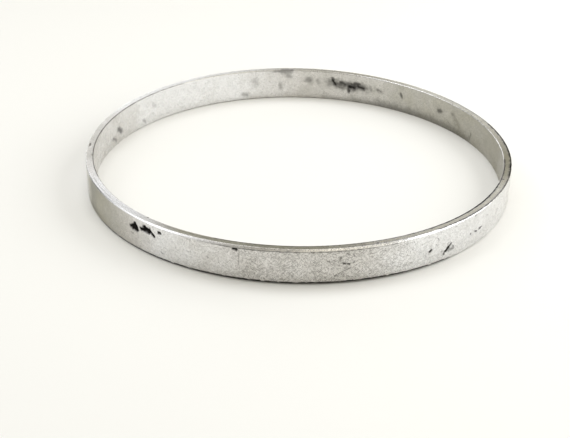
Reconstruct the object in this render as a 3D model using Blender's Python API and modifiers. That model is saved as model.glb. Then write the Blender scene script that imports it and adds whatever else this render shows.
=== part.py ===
"""A closed flat-strip bangle: one strip bent round, and the solder that joins its two ends.

Metres, +Z up along the bangle's axis. The origin is the centre of the ring, at the plane it lies on.
"""

import math

import bmesh
import bpy

# Driving dimensions
OUTER_RADIUS = 0.034
WALL_THICKNESS = 0.00125
BAND_HEIGHT = 0.0052
OUTER_CHAMFER = 0.00025
INNER_CHAMFER = 0.00012

# The soldered butt joint. Its angle is counted anticlockwise from +X, so it is at the front, left of centre
SEAM_ANGLE = math.radians(256.75)
SOLDER_THICKNESS = 0.0002
PIECE_GAP = 0.0003

# A whole number of steps in each quarter, so that the ring's box is exactly its diameter
TURN_STEPS = 144

CUTTER_MARGIN = 0.002

SILVER_COLOUR = (0.78, 0.77, 0.74, 1.0)
SILVER_ROUGHNESS = 0.3
SOLDER_COLOUR = (0.66, 0.65, 0.61, 1.0)
SOLDER_ROUGHNESS = 0.42


def clear_scene():
    """Removes every object that the file opened with."""
    for obj in list(bpy.data.objects):
        bpy.data.objects.remove(obj, do_unlink=True)


def new_collection(name):
    """A collection of this name, directly under the scene's own."""
    collection = bpy.data.collections.new(name)
    bpy.context.scene.collection.children.link(collection)
    return collection


def new_metal(name, colour, roughness):
    """A metallic Principled material."""
    material = bpy.data.materials.new(name)
    material.use_nodes = True
    shader = material.node_tree.nodes["Principled BSDF"]
    shader.inputs["Base Color"].default_value = colour
    shader.inputs["Metallic"].default_value = 1.0
    shader.inputs["Roughness"].default_value = roughness
    return material


def strip_section():
    """The strip's section as (radius, height) points, down the outer face and back up the inner wall."""
    outer = OUTER_RADIUS
    inner = OUTER_RADIUS - WALL_THICKNESS
    return [
        (outer - OUTER_CHAMFER, BAND_HEIGHT),
        (outer, BAND_HEIGHT - OUTER_CHAMFER),
        (outer, OUTER_CHAMFER),
        (outer - OUTER_CHAMFER, 0.0),
        (inner + INNER_CHAMFER, 0.0),
        (inner, INNER_CHAMFER),
        (inner, BAND_HEIGHT - INNER_CHAMFER),
        (inner + INNER_CHAMFER, BAND_HEIGHT),
    ]


def new_turned_ring(name, collection):
    """The strip's section turned through a full circle about Z."""
    mesh = bpy.data.meshes.new(name)
    shape = bmesh.new()
    points = [shape.verts.new((radius, 0.0, height)) for radius, height in strip_section()]
    for start, end in zip(points, points[1:] + points[:1]):
        shape.edges.new((start, end))
    shape.to_mesh(mesh)
    shape.free()
    ring = bpy.data.objects.new(name, mesh)
    collection.objects.link(ring)
    turn = ring.modifiers.new("Turn", "SCREW")
    turn.axis = "Z"
    turn.angle = 2.0 * math.pi
    turn.steps = TURN_STEPS
    turn.render_steps = TURN_STEPS
    turn.use_merge_vertices = True
    turn.merge_threshold = 0.00001
    return ring


def new_joint_block(name, collection, width):
    """A block across the strip at the seam, this wide along the strip, for cutting the joint."""
    mesh = bpy.data.meshes.new(name)
    shape = bmesh.new()
    bmesh.ops.create_cube(shape, size=1.0)
    depth = WALL_THICKNESS + 2.0 * CUTTER_MARGIN
    height = BAND_HEIGHT + 2.0 * CUTTER_MARGIN
    bmesh.ops.scale(shape, vec=(depth, width, height), verts=shape.verts)
    shape.to_mesh(mesh)
    shape.free()
    block = bpy.data.objects.new(name, mesh)
    collection.objects.link(block)
    middle_radius = OUTER_RADIUS - WALL_THICKNESS / 2.0
    block.location = (
        middle_radius * math.cos(SEAM_ANGLE),
        middle_radius * math.sin(SEAM_ANGLE),
        BAND_HEIGHT / 2.0,
    )
    block.rotation_euler = (0.0, 0.0, SEAM_ANGLE)
    block.hide_render = True
    block.display_type = "WIRE"
    return block


def add_boolean(obj, operation, cutter):
    """An exact Boolean of this cutter on the object."""
    boolean = obj.modifiers.new("Joint", "BOOLEAN")
    boolean.operation = operation
    boolean.solver = "EXACT"
    boolean.object = cutter


def finish_surface(obj, material):
    """The material, and smooth shading that keeps the strip's corners sharp."""
    obj.data.materials.append(material)
    obj.data.shade_smooth()
    obj.data.set_sharp_from_angle(angle=math.radians(30.0))


def build_band(parts, cutters):
    """The strip: a full ring with a narrow slot, whose two sides are the strip's cut ends."""
    band = new_turned_ring("band", parts)
    slot = new_joint_block("joint_slot_cutter", cutters, SOLDER_THICKNESS + 2.0 * PIECE_GAP)
    add_boolean(band, "DIFFERENCE", slot)
    finish_surface(band, new_metal("worn_silver", SILVER_COLOUR, SILVER_ROUGHNESS))


def build_seam_solder(parts, cutters):
    """The solder: a thin slice with the strip's own section, between the strip's ends."""
    solder = new_turned_ring("seam_solder", parts)
    slice_block = new_joint_block("solder_slice_cutter", cutters, SOLDER_THICKNESS)
    add_boolean(solder, "INTERSECT", slice_block)
    finish_surface(solder, new_metal("silver_solder", SOLDER_COLOUR, SOLDER_ROUGHNESS))


def main():
    clear_scene()
    parts = new_collection("bangle_bracelet")
    cutters = new_collection("cutters")
    build_band(parts, cutters)
    build_seam_solder(parts, cutters)


main()
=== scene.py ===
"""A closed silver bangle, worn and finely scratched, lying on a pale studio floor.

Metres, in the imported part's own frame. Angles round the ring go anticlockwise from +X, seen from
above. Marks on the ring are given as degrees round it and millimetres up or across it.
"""

import math

import bpy
import numpy as np
from mathutils import Matrix, Vector


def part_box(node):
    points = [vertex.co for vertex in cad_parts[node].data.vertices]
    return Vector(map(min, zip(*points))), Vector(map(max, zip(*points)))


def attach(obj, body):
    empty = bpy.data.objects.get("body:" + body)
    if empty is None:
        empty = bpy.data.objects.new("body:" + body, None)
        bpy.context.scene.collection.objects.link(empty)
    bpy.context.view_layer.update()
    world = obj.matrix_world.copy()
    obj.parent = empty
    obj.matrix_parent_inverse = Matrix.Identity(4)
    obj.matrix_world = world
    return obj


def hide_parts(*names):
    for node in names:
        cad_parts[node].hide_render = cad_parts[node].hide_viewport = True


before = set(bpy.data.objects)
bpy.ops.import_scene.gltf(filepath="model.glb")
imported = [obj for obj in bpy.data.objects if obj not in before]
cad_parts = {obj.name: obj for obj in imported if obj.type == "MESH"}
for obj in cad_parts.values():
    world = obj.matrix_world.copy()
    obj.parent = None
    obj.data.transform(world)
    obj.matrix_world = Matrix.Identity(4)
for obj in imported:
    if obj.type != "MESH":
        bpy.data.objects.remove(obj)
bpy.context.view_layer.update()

MM = 0.001

# The strip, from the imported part
BAND_LOW, BAND_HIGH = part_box("band")
SOLDER_LOW, SOLDER_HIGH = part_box("seam_solder")
OUTER_RADIUS = (BAND_HIGH.x - BAND_LOW.x) / 2.0
BAND_HEIGHT = BAND_HIGH.z - BAND_LOW.z
SEAM_ANGLE = math.degrees(math.atan2(SOLDER_LOW.y + SOLDER_HIGH.y, SOLDER_LOW.x + SOLDER_HIGH.x))
# The CAD's own sizes, which its boxes don't give
WALL_THICKNESS = 1.25 * MM
SOLDER_HALF_WIDTH = 0.1 * MM
INNER_RADIUS = OUTER_RADIUS - WALL_THICKNESS
SOLDER_HALF_ANGLE = math.degrees(SOLDER_HALF_WIDTH / OUTER_RADIUS)
# The solder is filed nearly flush with the strip, and is this much lower
SOLDER_SUNK = 0.01 * MM
SOLDER_COLUMNS = 4

# The strip's edges. The bevel outside was filed by hand, so it is wider in some places than in others
NARROW_BEVEL = 0.07 * MM
WIDE_BEVEL = 0.32 * MM
NARROW_ROUNDING = 0.03 * MM
WIDE_ROUNDING = 0.07 * MM
INNER_ROUNDING = 0.11 * MM
# The hand-bent strip's rim lifts and drops twice round the ring. Its foot follows a share of that, and
# hangs lower than the CAD's
WARP_COSINE = 0.15 * MM
WARP_SINE = 0.13 * MM
FOOT_FOLLOWS = 0.35
FOOT_DROP = 0.10 * MM
# Degrees round the ring, and share of the way from the narrow bevel to the wide one
BEVEL_WIDTHS = (
    (0.0, 0.0),
    (22.0, 0.1),
    (60.0, 0.4),
    (150.0, 0.3),
    (195.0, 0.3),
    (222.0, 0.4),
    (240.0, 0.65),
    (256.0, 0.85),
    (290.0, 0.85),
    (300.0, 0.6),
    (312.0, 0.35),
    (326.0, 0.15),
    (338.0, 0.0),
)
BEVEL_UNEVENNESS = 0.06
BEVEL_WAVE = 3.0 * MM
BEVEL_SEED = 7
# Waves of the worn faces: how deep, how long and the seed of each layer
FACE_WAVES = (
    (0.012 * MM, 9.0 * MM, 1),
    (0.0022 * MM, 2.2 * MM, 2),
    (0.0008 * MM, 0.9 * MM, 3),
)

# Which way a point on the section faces
OUTER, INNER, RIM, BEVEL, EDGE = "outer", "inner", "rim", "bevel", "edge"

# Mesh steps round the ring, in degrees. Each fine zone has pits to shape: it is from, to and its step
COARSE_STEP = 0.5
FINE_ZONES = (
    (62.0, 82.0, 0.2),
    (224.5, 237.5, 0.12),
    (253.5, 259.5, 0.14),
    (276.0, 285.0, 0.16),
    (296.0, 342.0, 0.22),
)
# An edge that turns by more than this is shaded as a corner, as round the strip's two cut ends
SHARP_ANGLE = math.radians(65.0)

# Pits and scratches, and dark lines of painted shade. Each goes from one point to another, given as
# degrees round the ring and as millimetres up a wall or out from the axis on a rim, then half-width
# and depth in mm, and how dark it is
MARKS = {
    OUTER: (
        ((225.6, 3.35), (226.9, 3.75), 0.36, 0.11, 1.0),
        ((226.5, 3.2), (227.6, 3.3), 0.45, 0.10, 1.0),
        ((227.2, 3.9), (228.1, 3.2), 0.36, 0.09, 1.0),
        ((225.5, 2.3), (225.8, 2.2), 0.12, 0.03, 0.4),
        ((226.0, 2.4), (226.3, 2.3), 0.10, 0.03, 0.5),
        ((229.4, 3.6), (230.8, 3.9), 0.36, 0.11, 1.0),
        ((230.4, 4.05), (232.3, 4.0), 0.42, 0.13, 1.0),
        ((231.0, 3.7), (232.5, 3.75), 0.28, 0.11, 1.0),
        ((230.6, 4.3), (230.8, 4.35), 0.14, 0.05, 0.9),
        ((232.2, 4.0), (233.8, 3.35), 0.26, 0.09, 1.0),
        ((231.6, 3.4), (232.2, 3.3), 0.10, 0.03, 0.6),
        ((235.3, 4.25), (235.7, 4.3), 0.25, 0.10, 1.0),
        ((236.0, 1.2), (236.3, 1.1), 0.10, 0.03, 0.4),
        ((255.2, 4.74), (256.2, 4.74), 0.20, 0.08, 1.0),
        ((256.8, 4.4), (256.6, 2.2), 0.06, 0.02, 0.33),
        ((251.8, 2.3), (251.9, 2.5), 0.11, 0.04, 0.8),
        ((248.6, 2.9), (249.3, 2.5), 0.06, 0.02, 0.4),
        ((243.2, 3.0), (244.4, 2.6), 0.05, 0.02, 0.35),
        ((279.0, 1.1), (282.8, 2.3), 0.07, 0.03, 0.6),
        ((281.0, 3.0), (281.5, 3.0), 0.14, 0.04, 0.9),
        ((281.9, 2.9), (282.3, 2.9), 0.19, 0.05, 1.0),
        ((283.3, 3.0), (283.5, 3.0), 0.09, 0.04, 0.7),
        ((280.2, 3.6), (280.3, 4.1), 0.10, 0.03, 0.6),
        ((277.2, 3.5), (277.7, 3.4), 0.12, 0.03, 0.5),
        ((281.6, 4.5), (282.4, 4.4), 0.12, 0.02, 0.35),
        ((283.3, 4.4), (283.6, 4.0), 0.08, 0.02, 0.5),
        ((303.5, 2.2), (303.9, 2.4), 0.20, 0.08, 1.0),
        ((302.2, 1.9), (302.4, 1.7), 0.08, 0.02, 0.4),
        ((308.1, 1.0), (308.5, 1.3), 0.20, 0.07, 0.9),
        ((308.7, 1.45), (309.5, 1.8), 0.25, 0.08, 1.0),
        ((309.5, 1.8), (310.4, 2.3), 0.15, 0.06, 0.95),
        ((309.9, 1.35), (311.1, 1.5), 0.34, 0.04, 0.5),
        ((311.1, 1.8), (311.4, 1.7), 0.14, 0.04, 0.6),
        ((307.2, 1.5), (308.0, 1.5), 0.11, 0.03, 0.45),
        ((309.0, 2.3), (310.0, 2.7), 0.12, 0.02, 0.3),
        ((305.7, 4.0), (306.2, 3.6), 0.09, 0.03, 0.6),
        ((305.2, 3.1), (305.6, 2.9), 0.08, 0.03, 0.4),
        ((319.7, 2.25), (320.4, 2.1), 0.15, 0.05, 0.9),
        ((321.5, 2.2), (322.9, 2.35), 0.13, 0.05, 0.9),
        ((317.6, 2.3), (318.0, 2.15), 0.13, 0.03, 0.7),
        ((349.3, 5.0), (349.9, 5.0), 0.25, 0.05, 1.0),
        ((319.2, 4.75), (319.9, 4.75), 0.10, 0.02, 0.5),
        ((325.0, 3.6), (325.4, 3.5), 0.12, 0.02, 0.35),
        ((331.2, 2.9), (332.0, 2.9), 0.14, 0.02, 0.35),
        # Painted shade: the dark line along the foot of the front face, where the floor's contact shadow
        # falls
        ((209.0, 0.08), (310.0, 0.08), 0.19, 0.0, 1.0),
        # Dark lines with no depth along the top edge of the front face
        ((252.0, 4.95), (294.0, 4.95), 0.07, 0.0, 0.6),
        ((243.0, 4.88), (252.0, 4.95), 0.06, 0.0, 0.35),
    ),
    INNER: (
        ((80.0, 3.3), (68.0, 3.0), 0.95, 0.02, 0.42),
        ((79.3, 3.8), (78.2, 2.9), 0.50, 0.08, 0.95),
        ((76.7, 3.5), (75.0, 3.1), 0.50, 0.08, 0.85),
        ((77.4, 2.7), (75.8, 2.4), 0.50, 0.05, 0.5),
        ((77.9, 3.1), (76.2, 3.0), 0.48, 0.05, 0.75),
        ((75.3, 2.9), (73.9, 3.4), 0.45, 0.05, 0.7),
        ((72.8, 3.3), (71.2, 3.0), 0.55, 0.06, 0.85),
        ((73.8, 2.3), (73.5, 1.9), 0.42, 0.09, 0.9),
        ((73.5, 2.8), (72.0, 2.7), 0.60, 0.11, 1.0),
        ((71.9, 3.5), (70.4, 3.5), 0.46, 0.08, 0.85),
        ((70.6, 3.1), (68.7, 2.8), 0.54, 0.08, 0.95),
        ((87.2, 3.5), (86.8, 3.35), 0.75, 0.04, 0.42),
        ((84.2, 3.5), (83.6, 2.8), 0.45, 0.03, 0.25),
        ((66.6, 3.3), (66.2, 2.9), 0.50, 0.03, 0.28),
        ((64.0, 3.2), (62.9, 3.0), 0.50, 0.04, 0.42),
        ((55.6, 3.5), (55.1, 2.9), 0.34, 0.05, 0.7),
        ((40.5, 2.8), (39.3, 2.9), 0.42, 0.05, 0.62),
        ((34.3, 3.2), (32.3, 2.5), 0.70, 0.03, 0.2),
        ((34.5, 3.3), (34.2, 3.4), 0.34, 0.04, 0.4),
        ((31.6, 2.4), (30.0, 1.2), 0.60, 0.02, 0.18),
        ((24.3, 2.0), (25.0, 0.8), 0.20, 0.04, 0.5),
        ((160.6, 2.5), (158.9, 1.7), 0.55, 0.07, 0.75),
        ((164.2, 1.5), (162.5, 0.9), 0.42, 0.05, 0.5),
        ((147.3, 1.2), (146.5, 0.7), 0.42, 0.04, 0.4),
        ((142.6, 3.3), (141.5, 2.8), 0.50, 0.03, 0.25),
        ((104.9, 3.2), (104.6, 2.9), 0.80, 0.03, 0.25),
        ((96.5, 2.4), (96.3, 1.8), 0.48, 0.04, 0.35),
        ((98.0, 5.1), (93.2, 5.0), 0.60, 0.0, 0.45),
        ((94.2, 4.5), (93.4, 4.1), 0.60, 0.0, 0.32),
        ((108.8, 0.9), (107.6, 0.8), 0.45, 0.04, 0.4),
        # Painted shade: dark bands with no depth along the foot of the inner wall, where it reflects the
        # shadowed floor
        ((82.0, 0.1), (70.0, 0.2), 0.7, 0.0, 0.16),
        ((72.0, 0.2), (64.0, 0.2), 0.95, 0.0, 0.26),
        ((64.0, 0.25), (26.0, 0.25), 1.15, 0.0, 0.36),
    ),
    RIM: (
        ((349.2, 33.72), (350.0, 33.76), 0.30, 0.06, 1.0),
        ((341.0, 33.2), (341.3, 33.1), 0.13, 0.04, 0.8),
        ((300.4, 33.5), (300.6, 33.4), 0.10, 0.04, 0.6),
        ((289.4, 33.5), (289.7, 33.3), 0.10, 0.04, 0.8),
        ((305.0, 33.2), (305.1, 33.1), 0.08, 0.03, 0.6),
        ((230.2, 32.85), (229.9, 32.8), 0.16, 0.06, 0.9),
        ((181.3, 33.5), (182.8, 33.5), 0.15, 0.04, 0.7),
        ((188.3, 32.95), (188.8, 32.95), 0.12, 0.05, 0.6),
        ((95.8, 33.0), (92.6, 33.0), 0.45, 0.04, 0.7),
        # Painted shade: lines with no depth along the rim and its two edges, where they reflect dark
        # surroundings
        ((343.0, 33.80), (378.0, 33.76), 0.27, 0.0, 0.95),
        ((378.0, 33.76), (400.0, 33.74), 0.2, 0.0, 0.5),
        ((250.0, 32.92), (298.0, 32.92), 0.11, 0.0, 0.9),
        ((298.0, 32.92), (338.0, 32.92), 0.14, 0.0, 1.0),
        ((338.0, 32.92), (354.0, 32.90), 0.11, 0.0, 0.9),
        ((232.0, 33.15), (266.0, 33.32), 0.07, 0.0, 0.45),
        ((130.0, 32.83), (202.0, 32.83), 0.08, 0.0, 0.8),
        ((203.0, 33.5), (217.0, 33.5), 0.07, 0.0, 0.4),
        ((282.0, 33.70), (306.0, 33.72), 0.10, 0.0, 0.55),
        ((306.0, 33.72), (343.0, 33.78), 0.14, 0.0, 0.85),
    ),
}
MARK_RAGGEDNESS = 0.5
MARK_RAGGED_SIZE = 0.35 * MM
FIRST_MARK_SEED = 10
# A mark is whole out to the first share of its half-width, and gone at the second
MARK_EDGES = {OUTER: (0.65, 1.1), INNER: (0.1, 1.3), RIM: (0.4, 1.2)}

# How thick the film of tarnish is at these degrees round each side, from 0 where the metal is bare. The
# film also paints shade and highlights. It is thick where the metal reflects shadowed floor or dark
# surroundings, as on the outer face near 203°, the inner wall near 5°, the rim at 241–276° and the bevel
# near 0°, and to dim the inner edge's highlight near 84°. It is bare to paint a highlight on the inner
# wall at 115–135°.
TARNISH_AND_PAINTED_SHADE = {
    OUTER: (
        (0.0, 0.5),
        (40.0, 0.6),
        (90.0, 0.4),
        (150.0, 0.55),
        (185.0, 0.3),
        (195.0, 0.45),
        (203.0, 1.38),
        (212.0, 1.1),
        (222.0, 0.65),
        (235.0, 0.0),
        (245.0, 0.3),
        (262.0, 0.53),
        (270.0, 0.53),
        (287.0, 0.5),
        (300.0, 0.0),
        (325.0, 0.0),
        (335.0, 0.0),
        (345.0, 0.3),
    ),
    INNER: (
        (5.0, 1.1),
        (15.0, 0.95),
        (25.0, 1.0),
        (45.0, 0.85),
        (58.0, 0.83),
        (66.0, 0.62),
        (90.0, 0.6),
        (100.0, 0.3),
        (115.0, 0.0),
        (135.0, 0.0),
        (145.0, 0.05),
        (160.0, 0.3),
        (172.0, 0.3),
        (220.0, 0.5),
        (300.0, 0.6),
    ),
    RIM: (
        (10.0, 0.45),
        (30.0, 0.0),
        (50.0, 0.0),
        (70.0, 0.54),
        (90.0, 0.6),
        (105.0, 0.13),
        (155.0, 0.2),
        (170.0, 0.68),
        (190.0, 0.72),
        (207.0, 0.05),
        (225.0, 0.0),
        (233.0, 0.35),
        (241.0, 1.15),
        (276.0, 1.15),
        (290.0, 0.4),
        (305.0, 0.2),
        (335.0, 0.1),
        (345.0, 0.95),
        (356.0, 1.15),
    ),
    BEVEL: (
        (0.0, 1.1),
        (25.0, 0.7),
        (60.0, 0.5),
        (180.0, 0.3),
        (200.0, 0.0),
        (240.0, 0.0),
        (246.0, 0.3),
        (262.0, 0.5),
        (280.0, 0.45),
        (292.0, 0.2),
        (300.0, 0.2),
        (325.0, 0.4),
        (338.0, 1.1),
    ),
    EDGE: (
        (0.0, 0.1),
        (66.0, 0.15),
        (76.0, 0.6),
        (84.0, 0.95),
        (110.0, 0.7),
        (180.0, 0.6),
        (330.0, 0.9),
    ),
}
# Room for the thickest film, which paints shade on the outer face near 203°
THICKEST_FILM = 1.4
UNDERSIDE_FILM = 0.7
# The film is thicker and thinner in clouds, by this much on each side
CLOUDINESS = {OUTER: 0.13, INNER: 0.16, RIM: 0.1, BEVEL: 0.1, EDGE: 0.05}
# Share, size and seed of each layer of the clouds
FILM_CLOUDS = (
    (0.6, 3.0 * MM, 5),
    (0.4, 1.1 * MM, 6),
)

# Degrees round the ring, and how strong the scratches are there: they are strongest in front
SCRATCHED = (
    (0.0, 0.5),
    (200.0, 0.3),
    (235.0, 0.5),
    (256.0, 0.7),
    (258.0, 1.0),
    (288.0, 1.0),
    (302.0, 0.65),
    (315.0, 0.5),
    (335.0, 0.4),
)


# ---------------------------------------------------------------- section of the strip

def rounded_corner(before, corner, after, rounding, steps):
    """Points of the arc that rounds this corner, from the edge before it to the edge after it."""
    towards_before = (before - corner).normalized()
    towards_after = (after - corner).normalized()
    half_angle = towards_before.angle(towards_after) / 2.0
    tangent = rounding / math.tan(half_angle)
    middle = corner + (towards_before + towards_after).normalized() * rounding / math.sin(half_angle)
    start = (corner + towards_before * tangent - middle).normalized()
    end = (corner + towards_after * tangent - middle).normalized()
    return [middle + start.slerp(end, step / steps) * rounding for step in range(steps + 1)]


def strip_section(bevel, rounding):
    """The closed section as (radius, height) points, clockwise from the top of the outer face."""
    bevelled = OUTER_RADIUS - bevel
    # radius, height, rounding, steps round the corner, steps from it to the next corner
    corners = (
        (OUTER_RADIUS, BAND_HEIGHT - bevel, rounding, 3, 32),
        (OUTER_RADIUS, bevel, rounding, 2, 2),
        (bevelled, 0.0, rounding, 2, 5),
        (INNER_RADIUS, 0.0, INNER_ROUNDING, 3, 22),
        (INNER_RADIUS, BAND_HEIGHT, INNER_ROUNDING, 4, 12),
        (bevelled, BAND_HEIGHT, rounding, 3, 3),
    )
    arcs = []
    for index, (radius, height, corner_rounding, steps, _) in enumerate(corners):
        before = Vector(corners[index - 1][:2])
        after = Vector(corners[(index + 1) % len(corners)][:2])
        arcs.append(rounded_corner(before, Vector((radius, height)), after, corner_rounding, steps))
    points = []
    for index, arc in enumerate(arcs):
        steps = corners[index][4]
        next_start = arcs[(index + 1) % len(arcs)][0]
        points += arc
        points += [arc[-1].lerp(next_start, step / steps) for step in range(1, steps)]
    return np.array(points)


def section_normals(points):
    """The outward normal at each point of the closed section."""
    along = np.roll(points, -1, axis=0) - np.roll(points, 1, axis=0)
    normals = np.stack([-along[:, 1], along[:, 0]], axis=1)
    return normals / np.linalg.norm(normals, axis=1)[:, None]


def section_distance(points):
    """How far round the section each point is, from the first one."""
    steps = np.linalg.norm(np.diff(points, axis=0), axis=1)
    return np.concatenate([[0.0], np.cumsum(steps)])


NARROW = strip_section(NARROW_BEVEL, NARROW_ROUNDING)
WIDE = strip_section(WIDE_BEVEL, WIDE_ROUNDING)
SECTION = (NARROW + WIDE) / 2.0
NORMALS = section_normals(SECTION)
ACROSS = section_distance(SECTION)
# The points on each side, which takes in part of the corners next to it. The bevel and the inner edge
# share points with the sides, so TARNISH_AND_PAINTED_SHADE has them last
SIDE_LEAN = 0.6
BEVEL_LEAN = 0.25
EDGE_LEAN = 0.15
FACING = {
    OUTER: np.flatnonzero(NORMALS[:, 0] > SIDE_LEAN),
    INNER: np.flatnonzero(NORMALS[:, 0] < -SIDE_LEAN),
    RIM: np.flatnonzero(NORMALS[:, 1] > SIDE_LEAN),
    BEVEL: np.flatnonzero((NORMALS[:, 0] > BEVEL_LEAN) & (NORMALS[:, 1] > BEVEL_LEAN)),
    EDGE: np.flatnonzero((NORMALS[:, 0] < -EDGE_LEAN) & (NORMALS[:, 1] > EDGE_LEAN)),
}


# ---------------------------------------------------------------- shape round the ring

def ring_angles(start, end):
    """Degrees of the mesh columns, from start to end, closer together in the fine zones."""
    angles = [start]
    while angles[-1] < end:
        here = angles[-1] % 360.0
        step = COARSE_STEP
        for low, high, fine in FINE_ZONES:
            if low <= here < high:
                step = fine
        angles.append(angles[-1] + step)
    angles = np.array(angles)
    return start + (angles - start) * (end - start) / (angles[-1] - start)


def round_the_ring(angles, places):
    """A number read off a list of (degrees, number) places, in straight runs that close up."""
    degrees, numbers = zip(*places)
    return np.interp(angles % 360.0, degrees, numbers, period=360.0)


def turn_from(angles, start):
    """Degrees from start to each angle, the short way round."""
    return (angles - start + 180.0) % 360.0 - 180.0


def cloud(angles, across, size, seed):
    """Smooth noise from -1 to 1 that closes up round the ring, with blobs of this size in metres."""
    cells = max(3, round(2.0 * math.pi * OUTER_RADIUS / size))
    rows = int(across.max() / size) + 3
    values = np.random.default_rng(seed).uniform(-1.0, 1.0, (cells, rows))
    x = (angles[:, None] % 360.0) / 360.0 * cells
    y = across[None, :] / size
    column = np.floor(x).astype(int)
    row = np.floor(y).astype(int)
    fx = x - column
    fy = y - row
    fx = fx * fx * (3.0 - 2.0 * fx)
    fy = fy * fy * (3.0 - 2.0 * fy)
    left = values[column % cells, row] * (1.0 - fy) + values[column % cells, row + 1] * fy
    right = values[(column + 1) % cells, row] * (1.0 - fy) + values[(column + 1) % cells, row + 1] * fy
    return left * (1.0 - fx) + right * fx


def layered_cloud(angles, layers):
    """Clouds over the whole strip, added up. Each layer is its strength, its size and its seed."""
    return sum(strength * cloud(angles, ACROSS, size, seed) for strength, size, seed in layers)


def warp(angles):
    """How far the hand-bent strip's rim lifts and drops round the ring."""
    turn = np.radians(2.0 * angles)
    return -WARP_COSINE * np.cos(turn) - WARP_SINE * np.sin(turn)


def lift(angles):
    """How far each point is moved up: the foot is nearer to flat than the rim is, and a little lower."""
    share = SECTION[:, 1] / BAND_HEIGHT
    followed = FOOT_FOLLOWS + (1.0 - FOOT_FOLLOWS) * share
    return warp(angles)[:, None] * followed - FOOT_DROP * (1.0 - share)


def smooth_fall(distance, full, end):
    """1 up to the full distance, 0 past the end, and smooth between."""
    share = np.clip((end - distance) / (end - full), 0.0, 1.0)
    return share * share * (3.0 - 2.0 * share)


def mark_mask(side, angles, start, end, half_width, seed):
    """How strongly a mark shows at each point: an array of ring columns by section points."""
    rows = FACING[side]
    place = SECTION[rows, 0] if side == RIM else SECTION[rows, 1]
    radius = INNER_RADIUS if side == INNER else OUTER_RADIUS
    x = np.radians(turn_from(angles, start[0]))[:, None] * radius
    y = place[None, :] - start[1] * MM
    run = Vector((math.radians(end[0] - start[0]) * radius, (end[1] - start[1]) * MM))
    share = np.clip((x * run.x + y * run.y) / run.length_squared, 0.0, 1.0)
    distance = np.hypot(x - share * run.x, y - share * run.y)
    ragged = 1.0 + MARK_RAGGEDNESS * cloud(angles, place - place.min(), MARK_RAGGED_SIZE, seed)
    mask = np.zeros((len(angles), len(SECTION)))
    width = half_width * MM * ragged
    whole, gone = MARK_EDGES[side]
    mask[:, rows] = smooth_fall(distance, whole * width, gone * width)
    return mask


def shape_ring(angles):
    """The worn strip: offsets along its normals, and how dark each point is with pits and painted shade.
    """
    offset = layered_cloud(angles, FACE_WAVES)
    dark = np.zeros_like(offset)
    seed = FIRST_MARK_SEED
    for side, marks in MARKS.items():
        for start, end, half_width, depth, darkness in marks:
            mask = mark_mask(side, angles, start, end, half_width, seed)
            offset -= depth * MM * mask
            dark = np.maximum(dark, darkness * mask)
            seed += 1
    return offset, dark


def film_of_tarnish_and_shade(angles):
    """How thick the film of tarnish is at each point, with painted shade and highlights in it, from 0 to
    THICKEST_FILM.
    """
    film_and_shade = np.full((len(angles), len(SECTION)), UNDERSIDE_FILM)
    clouds = layered_cloud(angles, FILM_CLOUDS)
    for side, places in TARNISH_AND_PAINTED_SHADE.items():
        rows = FACING[side]
        film_and_shade[:, rows] = round_the_ring(angles, places)[:, None] + CLOUDINESS[side] * clouds[:, rows]
    return np.clip(film_and_shade, 0.0, THICKEST_FILM)


def loft_points(angles, offset):
    """The section's points at each of these angles, moved along its normals by offset."""
    uneven = BEVEL_UNEVENNESS * cloud(angles, np.zeros(1), BEVEL_WAVE, BEVEL_SEED)[:, 0]
    width = np.clip(round_the_ring(angles, BEVEL_WIDTHS) + uneven, 0.0, 1.0)
    section = NARROW + width[:, None, None] * (WIDE - NARROW)
    radii = section[:, :, 0] + offset * NORMALS[None, :, 0]
    heights = section[:, :, 1] + offset * NORMALS[None, :, 1] + lift(angles)
    turn = np.radians(angles)[:, None]
    return np.stack([radii * np.cos(turn), radii * np.sin(turn), heights], axis=-1)


def loft_faces(columns, rows):
    """Four-cornered faces between each column of points and the next, and a flat face on each end."""
    column, row = np.meshgrid(np.arange(columns - 1), np.arange(rows), indexing="ij")
    here = column * rows + row
    above = column * rows + (row + 1) % rows
    faces = np.stack([here, above, above + rows, here + rows], axis=-1).reshape(-1, 4).tolist()
    faces.append(list(range(rows))[::-1])
    faces.append(list(range((columns - 1) * rows, columns * rows)))
    return faces


def store(mesh, name, values):
    """Keeps one number, or one vector, for each point of the mesh, for its material to read."""
    kind, field = ("FLOAT_VECTOR", "vector") if values.shape[-1] == 3 else ("FLOAT", "value")
    attribute = mesh.attributes.new(name, kind, "POINT")
    attribute.data.foreach_set(field, values.astype(np.float32).ravel())


def new_piece(name, mesh, node):
    """A piece that stands for this CAD node and rides on the part's one body."""
    piece = bpy.data.objects.new(name, mesh)
    bpy.context.scene.collection.objects.link(piece)
    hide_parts(node)
    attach(piece, "root")


def store_wear_and_shade(mesh, angles, dark):
    """The strip's own coordinates in mm, its pits and scratches, and its tarnish, with the painted shade
    that the pits and the tarnish carry.
    """
    scratched = np.broadcast_to(round_the_ring(angles, SCRATCHED)[:, None], dark.shape)
    along = np.broadcast_to(np.radians(angles)[:, None] * OUTER_RADIUS / MM, dark.shape)
    across = np.broadcast_to(ACROSS[None, :] / MM, dark.shape)
    strip = np.stack([along, across, np.zeros_like(along)], axis=-1)
    store(mesh, "strip", strip.reshape(-1, 3))
    store(mesh, "pit_and_shade", dark.reshape(-1, 1))
    store(mesh, "film_and_shade", film_of_tarnish_and_shade(angles).reshape(-1, 1))
    store(mesh, "scratched", scratched.reshape(-1, 1))


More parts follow.
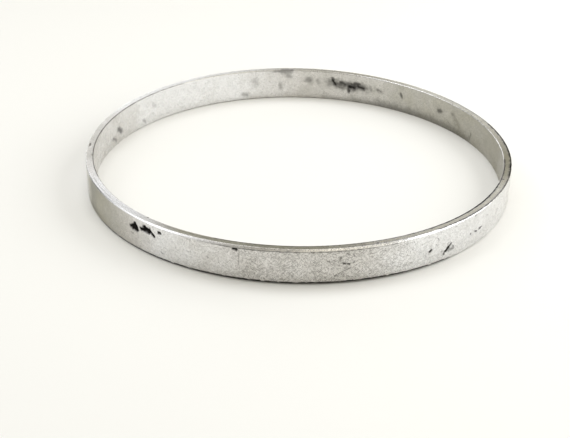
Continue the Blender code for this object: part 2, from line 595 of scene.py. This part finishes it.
def worn_mesh(name, angles, sunk=0.0):
    """This stretch of the strip as a closed mesh, sunk below the strip's own surface."""
    offset, dark = shape_ring(angles)
    points = loft_points(angles, offset - sunk).reshape(-1, 3)
    mesh = bpy.data.meshes.new(name)
    mesh.from_pydata(points.tolist(), [], loft_faces(len(angles), len(SECTION)))
    mesh.shade_smooth()
    mesh.set_sharp_from_angle(angle=SHARP_ANGLE)
    store_wear_and_shade(mesh, angles, dark)
    return mesh


def build_band():
    """The strip, from one side of the seam right round to the other."""
    start = SEAM_ANGLE + SOLDER_HALF_ANGLE
    angles = ring_angles(start, start + 360.0 - 2.0 * SOLDER_HALF_ANGLE)
    mesh = worn_mesh("band_worn", angles)
    mesh.materials.append(worn_silver("worn_silver", SILVER_COLOUR, SILVER_ROUGHNESS))
    new_piece("band_worn", mesh, "band")


def build_solder():
    """The solder, between the two ends of the strip."""
    angles = np.linspace(SEAM_ANGLE - SOLDER_HALF_ANGLE, SEAM_ANGLE + SOLDER_HALF_ANGLE, SOLDER_COLUMNS)
    mesh = worn_mesh("solder_worn", angles, SOLDER_SUNK)
    mesh.materials.append(worn_silver("silver_solder", SOLDER_COLOUR, SOLDER_ROUGHNESS))
    new_piece("solder_worn", mesh, "seam_solder")


# ---------------------------------------------------------------- metal

SILVER_COLOUR = (0.915, 0.918, 0.928, 1.0)
SILVER_ROUGHNESS = 0.22
SOLDER_COLOUR = (0.8, 0.79, 0.76, 1.0)
SOLDER_ROUGHNESS = 0.32

# The film of tarnish, which also carries painted shade: share of the thickest film, colour. The darkest
# stops are reached mostly where shade is painted
FILM_STOPS = (
    (0.37, (0.69, 0.672, 0.645, 1.0)),
    (0.575, (0.53, 0.518, 0.475, 1.0)),
    (0.82, (0.42, 0.403, 0.325, 1.0)),
    (1.0, (0.24, 0.23, 0.18, 1.0)),
)

# What lies over the film, and how much of it shows. A scale is in cells per mm
PATCH_COLOUR = (0.35, 0.34, 0.31, 1.0)
PATCH_SHARE = 0.07
PATCH_SCALE = 0.6
PATCH_DETAIL = 3.0
GRAIN_COLOUR = (0.4, 0.39, 0.36, 1.0)
GRAIN_SHARE = 0.38
GRAIN_SCALE = 5.5
GRAIN_DETAIL = 4.0
SCRATCH_COLOUR = (0.16, 0.15, 0.14, 1.0)
SCRATCH_SHARE = 0.95
SPECK_COLOUR = (0.12, 0.11, 0.1, 1.0)
SPECK_SHARE = 0.5
SPECK_SCALE = 1.6
SPECKS_KEPT = 0.12
# The colour of pits, and of the lines of painted shade
PIT_AND_SHADE_COLOUR = (0.012, 0.011, 0.01, 1.0)

# What each kind of wear, and the painted shade that the film and the pits carry, adds to the roughness
ROUGHENING = {"film_and_shade": 0.06, "patches": 0.05, "scratches": 0.12, "grain": 0.06, "pit_and_shade": 0.5}
# How deep a scratch looks, the grain's height as a share of that, and how strongly both show
SCRATCH_DEPTH = 0.006 * MM
GRAIN_HEIGHT = 0.15
BUMP_STRENGTH = 0.5

# Layers of scratches: angle to the strip in degrees, length, spacing and width in mm, share that is kept
HAIRLINES = (
    (36.0, 0.80, 0.20, 0.085, 0.65),
    (-43.0, 0.65, 0.22, 0.085, 0.6),
    (61.0, 0.50, 0.22, 0.080, 0.6),
    (-15.0, 1.00, 0.28, 0.080, 0.5),
    (9.0, 2.60, 0.70, 0.080, 0.5),
    (-68.0, 0.48, 0.24, 0.080, 0.6),
)
FAINTEST_SCRATCH = 0.35
# They bend by up to this many mm, in waves of this many per mm
SCRATCH_BEND = 0.15
BEND_SCALE = 0.25


class Graph:
    """Short calls for building one node tree."""

    def __init__(self, tree):
        self.tree = tree

    def put(self, socket, value):
        """Sets an input to a number or a tuple, or links an output to it."""
        if isinstance(value, bpy.types.NodeSocket):
            self.tree.links.new(value, socket)
        elif value is not None:
            socket.default_value = value

    def node(self, kind, inputs=(), **settings):
        """A new node with these settings, and with its inputs given by name or number."""
        node = self.tree.nodes.new("ShaderNode" + kind)
        for name, value in settings.items():
            setattr(node, name, value)
        for name, value in dict(inputs).items():
            self.put(node.inputs[name], value)
        return node

    def math(self, operation, first, second):
        """One number from a Math node."""
        return self.node("Math", {0: first, 1: second}, operation=operation).outputs[0]

    def vector(self, operation, first, second=None):
        """One vector from a Vector Math node."""
        return self.node("VectorMath", {0: first, 1: second}, operation=operation).outputs[0]

    def spread(self, value, low, high, to_low=0.0, to_high=1.0):
        """The value carried smoothly from one range to another, and held at its ends."""
        inputs = {"Value": value, "From Min": low, "From Max": high, "To Min": to_low, "To Max": to_high}
        return self.node("MapRange", inputs, interpolation_type="SMOOTHSTEP").outputs["Result"]

    def noise(self, vector, scale, detail):
        """A noise texture's value, about 0.5."""
        inputs = {"Vector": vector, "Scale": scale, "Detail": detail}
        return self.node("TexNoise", inputs, noise_dimensions="3D").outputs["Fac"]

    def ramp(self, value, stops):
        """One colour off a list of (place, colour) stops."""
        node = self.node("ValToRGB", {"Fac": value})
        elements = node.color_ramp.elements
        for index, (place, colour) in enumerate(stops):
            element = elements[index] if index < 2 else elements.new(place)
            element.position = place
            element.color = colour
        return node.outputs["Color"]

    def mix(self, share, first, second):
        """One colour between two."""
        inputs = {"Factor": share, "A": first, "B": second}
        return self.node("Mix", inputs, data_type="RGBA").outputs["Result"]


def hairlines(graph, strip, angle, length, spacing, width, kept):
    """Straight hairline scratches at this angle to the strip: 1 on each line, 0 between. Sizes in mm."""
    # Moved by an amount of its own, so that no two layers start at the same place
    turned = graph.node("Mapping", {
        "Vector": strip,
        "Location": (angle * 0.7, angle * 0.3, 0.0),
        "Rotation": (0.0, 0.0, math.radians(angle)),
    }).outputs[0]
    cells = graph.vector("MULTIPLY", turned, (1.0 / length, 1.0 / spacing, 0.0))
    voronoi = graph.node("TexVoronoi", {"Vector": cells, "Scale": 1.0},
                         voronoi_dimensions="2D", distance="CHEBYCHEV")
    local = graph.vector("ABSOLUTE", graph.vector("SUBTRACT", cells, voronoi.outputs["Position"]))
    reach = graph.node("SeparateXYZ", {0: local}).outputs
    # Dark in the middle of its width, and fading away towards its two ends
    line = graph.spread(reach["Y"], 0.5 * width / spacing, 0.1 * width / spacing)
    ends = graph.spread(reach["X"], 0.45, 0.25)
    chance = graph.node("SeparateColor", {0: voronoi.outputs["Color"]}).outputs
    keep = graph.math("LESS_THAN", chance["Red"], kept)
    strength = graph.spread(chance["Green"], 0.0, 1.0, FAINTEST_SCRATCH, 1.0)
    shape = graph.math("MULTIPLY", line, ends)
    return graph.math("MULTIPLY", shape, graph.math("MULTIPLY", keep, strength))


def all_hairlines(graph, strip):
    """Every layer of hairlines, on a strip that is bent a little so that they aren't quite straight."""
    waves = {"Vector": strip, "Scale": BEND_SCALE, "Detail": 1.0}
    drift = graph.node("TexNoise", waves).outputs["Color"]
    bent = graph.vector("ADD", strip, graph.vector("MULTIPLY", drift, (SCRATCH_BEND, SCRATCH_BEND, 0.0)))
    scratches = None
    for angle, length, spacing, width, kept in HAIRLINES:
        layer = hairlines(graph, bent, angle, length, spacing, width, kept)
        scratches = layer if scratches is None else graph.math("MAXIMUM", scratches, layer)
    return scratches


def specks(graph, strip):
    """Small round specks, a random few of those that would fit."""
    dust = graph.node("TexVoronoi", {"Vector": strip, "Scale": SPECK_SCALE}, voronoi_dimensions="2D")
    chosen = graph.node("SeparateColor", {0: dust.outputs["Color"]}).outputs["Red"]
    dot = graph.spread(dust.outputs["Distance"], 0.13, 0.07)
    return graph.math("MULTIPLY", dot, graph.math("LESS_THAN", chosen, SPECKS_KEPT))


def film_colour(graph, film_and_shade, metal):
    """The metal's own colour where it is bare, and darker and browner as the film thickens, which also
    paints shade where the film is set thick for it.
    """
    return graph.ramp(graph.math("MULTIPLY", film_and_shade, 1.0 / THICKEST_FILM), ((0.0, metal),) + FILM_STOPS)


def wear_roughness(graph, wear_and_shade, roughness):
    """The bare metal's roughness, and what each kind of wear, with the painted shade carried in it, adds
    to it.
    """
    # The grain is about a half on average, and the metal's own roughness takes that in
    total = roughness - 0.5 * ROUGHENING["grain"]
    for kind, share in ROUGHENING.items():
        total = graph.math("ADD", total, graph.math("MULTIPLY", wear_and_shade[kind], share))
    return total


def worn_silver(name, colour, roughness):
    """Worn metal: a cloudy film of tarnish that also carries painted shade, hairline scratches, small
    specks, and black pits and lines of painted shade.
    """
    material = bpy.data.materials.new(name)
    material.use_nodes = True
    shader = material.node_tree.nodes["Principled BSDF"]
    graph = Graph(material.node_tree)
    strip = graph.node("Attribute", attribute_name="strip").outputs["Vector"]
    pit_and_shade = graph.node("Attribute", attribute_name="pit_and_shade").outputs["Fac"]
    film_and_shade = graph.node("Attribute", attribute_name="film_and_shade").outputs["Fac"]
    scratched = graph.node("Attribute", attribute_name="scratched").outputs["Fac"]
    scratches = graph.math("MULTIPLY", all_hairlines(graph, strip), scratched)
    patches = graph.spread(graph.noise(strip, PATCH_SCALE, PATCH_DETAIL), 0.35, 0.65)
    grain = graph.noise(strip, GRAIN_SCALE, GRAIN_DETAIL)

    surface = film_colour(graph, film_and_shade, colour)
    surface = graph.mix(graph.math("MULTIPLY", patches, PATCH_SHARE), surface, PATCH_COLOUR)
    surface = graph.mix(graph.spread(grain, 0.53, 0.7, 0.0, GRAIN_SHARE), surface, GRAIN_COLOUR)
    surface = graph.mix(graph.math("MULTIPLY", scratches, SCRATCH_SHARE), surface, SCRATCH_COLOUR)
    surface = graph.mix(graph.math("MULTIPLY", specks(graph, strip), SPECK_SHARE), surface, SPECK_COLOUR)
    graph.put(shader.inputs["Base Color"], graph.mix(pit_and_shade, surface, PIT_AND_SHADE_COLOUR))
    # A pit is filled with dull dirt, so it is neither metal nor shiny; the lines of painted shade are
    # made dull black the same way
    graph.put(shader.inputs["Metallic"], graph.spread(pit_and_shade, 0.35, 0.75, 1.0, 0.0))
    graph.put(shader.inputs["Specular IOR Level"], graph.spread(pit_and_shade, 0.2, 0.6, 0.5, 0.05))
    wear_and_shade = {"film_and_shade": film_and_shade, "patches": patches, "scratches": scratches, "grain": grain, "pit_and_shade": pit_and_shade}
    graph.put(shader.inputs["Roughness"], wear_roughness(graph, wear_and_shade, roughness))

    height = graph.math("SUBTRACT", graph.math("MULTIPLY", grain, GRAIN_HEIGHT), scratches)
    bump = {"Strength": BUMP_STRENGTH, "Distance": SCRATCH_DEPTH, "Height": height}
    graph.put(shader.inputs["Normal"], graph.node("Bump", bump).outputs[0])
    return material


# ---------------------------------------------------------------- floor, light and camera

FLOOR_SIZE = 6.0
FLOOR_HEIGHT = -0.13 * MM
FLOOR_COLOUR = (0.82, 0.818, 0.795, 1.0)
FLOOR_ROUGHNESS = 0.9
FLOOR_SHINE = 0.1

NEUTRAL = (1.0, 1.0, 1.0)
WARM_WALL = (1.0, 0.96, 0.84)
WARM_LAMP = (1.0, 0.96, 0.78)
# Height of the direction, from 0 at the horizon to 1 overhead, and brightness of the room there
SKY_HEIGHTS = (
    (0.0, 0.03),
    (0.3, 0.03),
    (1.0, 0.08),
)
# Bright panels that the metal reflects: azimuth, elevation, half-angle where it is full, half-angle
# where it ends, strength, colour
SOFT_PANELS = (
    (-27.0, 19.0, 4.0, 18.0, 2.5, NEUTRAL),
    (-8.0, 12.0, 2.0, 12.0, 1.8, NEUTRAL),
    (10.0, 21.0, 1.0, 7.0, 0.42, NEUTRAL),
    (12.0, 30.0, 7.0, 20.0, 0.56, WARM_LAMP),
    (-9.0, 23.5, 1.0, 5.0, 0.78, NEUTRAL),
    (-11.5, 28.0, 1.0, 5.0, 0.6, NEUTRAL),
    (-47.0, 27.0, 3.0, 12.0, 1.0, NEUTRAL),
    (-46.0, 8.0, 2.0, 9.0, 0.8, NEUTRAL),
    (-92.0, 37.0, 14.0, 36.0, 1.1, NEUTRAL),
    (180.0, 60.0, 18.0, 38.0, 0.52, WARM_WALL),
    (128.0, 7.0, 8.0, 30.0, 1.9, WARM_WALL),
    (145.0, 50.0, 8.0, 28.0, 1.0, WARM_WALL),
)
BACKDROP = (1.0, 1.0, 1.0, 1.0)

CAMERA_LENS = 70.6
SENSOR_WIDTH = 36.0
CAMERA_DISTANCE = 183.3 * MM
CAMERA_ELEVATION = math.radians(26.4)
CAMERA_AIM = Vector((-1.8 * MM, -15.5 * MM, 0.0))
CAMERA_ROLL = math.radians(0.93)
NEAREST_SEEN = 0.01
FARTHEST_SEEN = 20.0


def build_floor():
    """A plain pale floor. The worn strip's lowest points just press into it."""
    bpy.ops.mesh.primitive_plane_add(size=FLOOR_SIZE, location=(0.0, 0.0, FLOOR_HEIGHT))
    floor = bpy.context.object
    floor.name = "floor"
    material = bpy.data.materials.new("pale_floor")
    material.use_nodes = True
    shader = material.node_tree.nodes["Principled BSDF"]
    shader.inputs["Base Color"].default_value = FLOOR_COLOUR
    shader.inputs["Roughness"].default_value = FLOOR_ROUGHNESS
    shader.inputs["Specular IOR Level"].default_value = FLOOR_SHINE
    floor.data.materials.append(material)


def direction(azimuth, elevation):
    """The unit vector towards a bearing. azimuth is in degrees clockwise from +Y, towards +X."""
    turn = math.radians(azimuth)
    rise = math.radians(elevation)
    return Vector((math.sin(turn) * math.cos(rise), math.cos(turn) * math.cos(rise), math.sin(rise)))


def area_light(name, azimuth, elevation, distance, size, power):
    """A soft square light aimed at the bangle."""
    light = bpy.data.lights.new(name, "AREA")
    light.shape = "SQUARE"
    light.size = size
    light.energy = power
    lamp = bpy.data.objects.new(name, light)
    bpy.context.scene.collection.objects.link(lamp)
    place = direction(azimuth, elevation)
    lamp.location = place * distance
    lamp.rotation_euler = place.to_track_quat("Z", "Y").to_euler()


def sun_light(name, azimuth, elevation, width, strength):
    """A broad even light from far away, this many degrees across."""
    light = bpy.data.lights.new(name, "SUN")
    light.angle = math.radians(width)
    light.energy = strength
    lamp = bpy.data.objects.new(name, light)
    bpy.context.scene.collection.objects.link(lamp)
    lamp.rotation_euler = direction(azimuth, elevation).to_track_quat("Z", "Y").to_euler()


def build_world():
    """The studio that the metal reflects: a dim warm room with bright panels, and a white backdrop."""
    world = bpy.data.worlds.new("studio")
    bpy.context.scene.world = world
    world.use_nodes = True
    background = world.node_tree.nodes["Background"]
    graph = Graph(world.node_tree)
    bearing = graph.node("TexCoord").outputs["Generated"]
    height = graph.node("SeparateXYZ", {0: bearing}).outputs["Z"]
    sky = [(place, [level * share for share in WARM_WALL] + [1.0]) for place, level in SKY_HEIGHTS]
    total = graph.ramp(height, sky)
    for azimuth, elevation, full, end, strength, colour in SOFT_PANELS:
        inputs = {0: bearing, 1: direction(azimuth, elevation)}
        facing = graph.node("VectorMath", inputs, operation="DOT_PRODUCT").outputs["Value"]
        edge = math.cos(math.radians(end))
        middle = math.cos(math.radians(full))
        panel = graph.spread(facing, edge, middle, 0.0, strength)
        total = graph.vector("ADD", total, graph.vector("MULTIPLY", panel, colour))
    seen = graph.node("LightPath").outputs["Is Camera Ray"]
    graph.put(background.inputs["Color"], graph.mix(seen, total, BACKDROP))


def build_camera():
    """The photograph's camera: in front, above, and rolled very slightly."""
    camera_data = bpy.data.cameras.new("camera")
    camera_data.lens = CAMERA_LENS
    camera_data.sensor_width = SENSOR_WIDTH
    camera_data.clip_start = NEAREST_SEEN
    camera_data.clip_end = FARTHEST_SEEN
    camera = bpy.data.objects.new("camera", camera_data)
    bpy.context.scene.collection.objects.link(camera)
    camera.location = (
        0.0,
        -CAMERA_DISTANCE * math.cos(CAMERA_ELEVATION),
        CAMERA_DISTANCE * math.sin(CAMERA_ELEVATION),
    )
    look = (CAMERA_AIM - camera.location).to_track_quat("-Z", "Y").to_matrix().to_4x4()
    roll = Matrix.Rotation(CAMERA_ROLL, 4, "Z")
    camera.matrix_world = Matrix.Translation(camera.location) @ look @ roll
    bpy.context.scene.camera = camera
    bpy.context.scene.view_settings.view_transform = "Standard"


build_band()
build_solder()
build_floor()
area_light("key", azimuth=82.0, elevation=34.0, distance=0.26, size=0.214, power=0.49)
area_light("fill", azimuth=-74.0, elevation=54.0, distance=0.25, size=0.18, power=0.125)
sun_light("back", azimuth=-10.0, elevation=70.0, width=36.0, strength=0.95)
build_world()
build_camera()
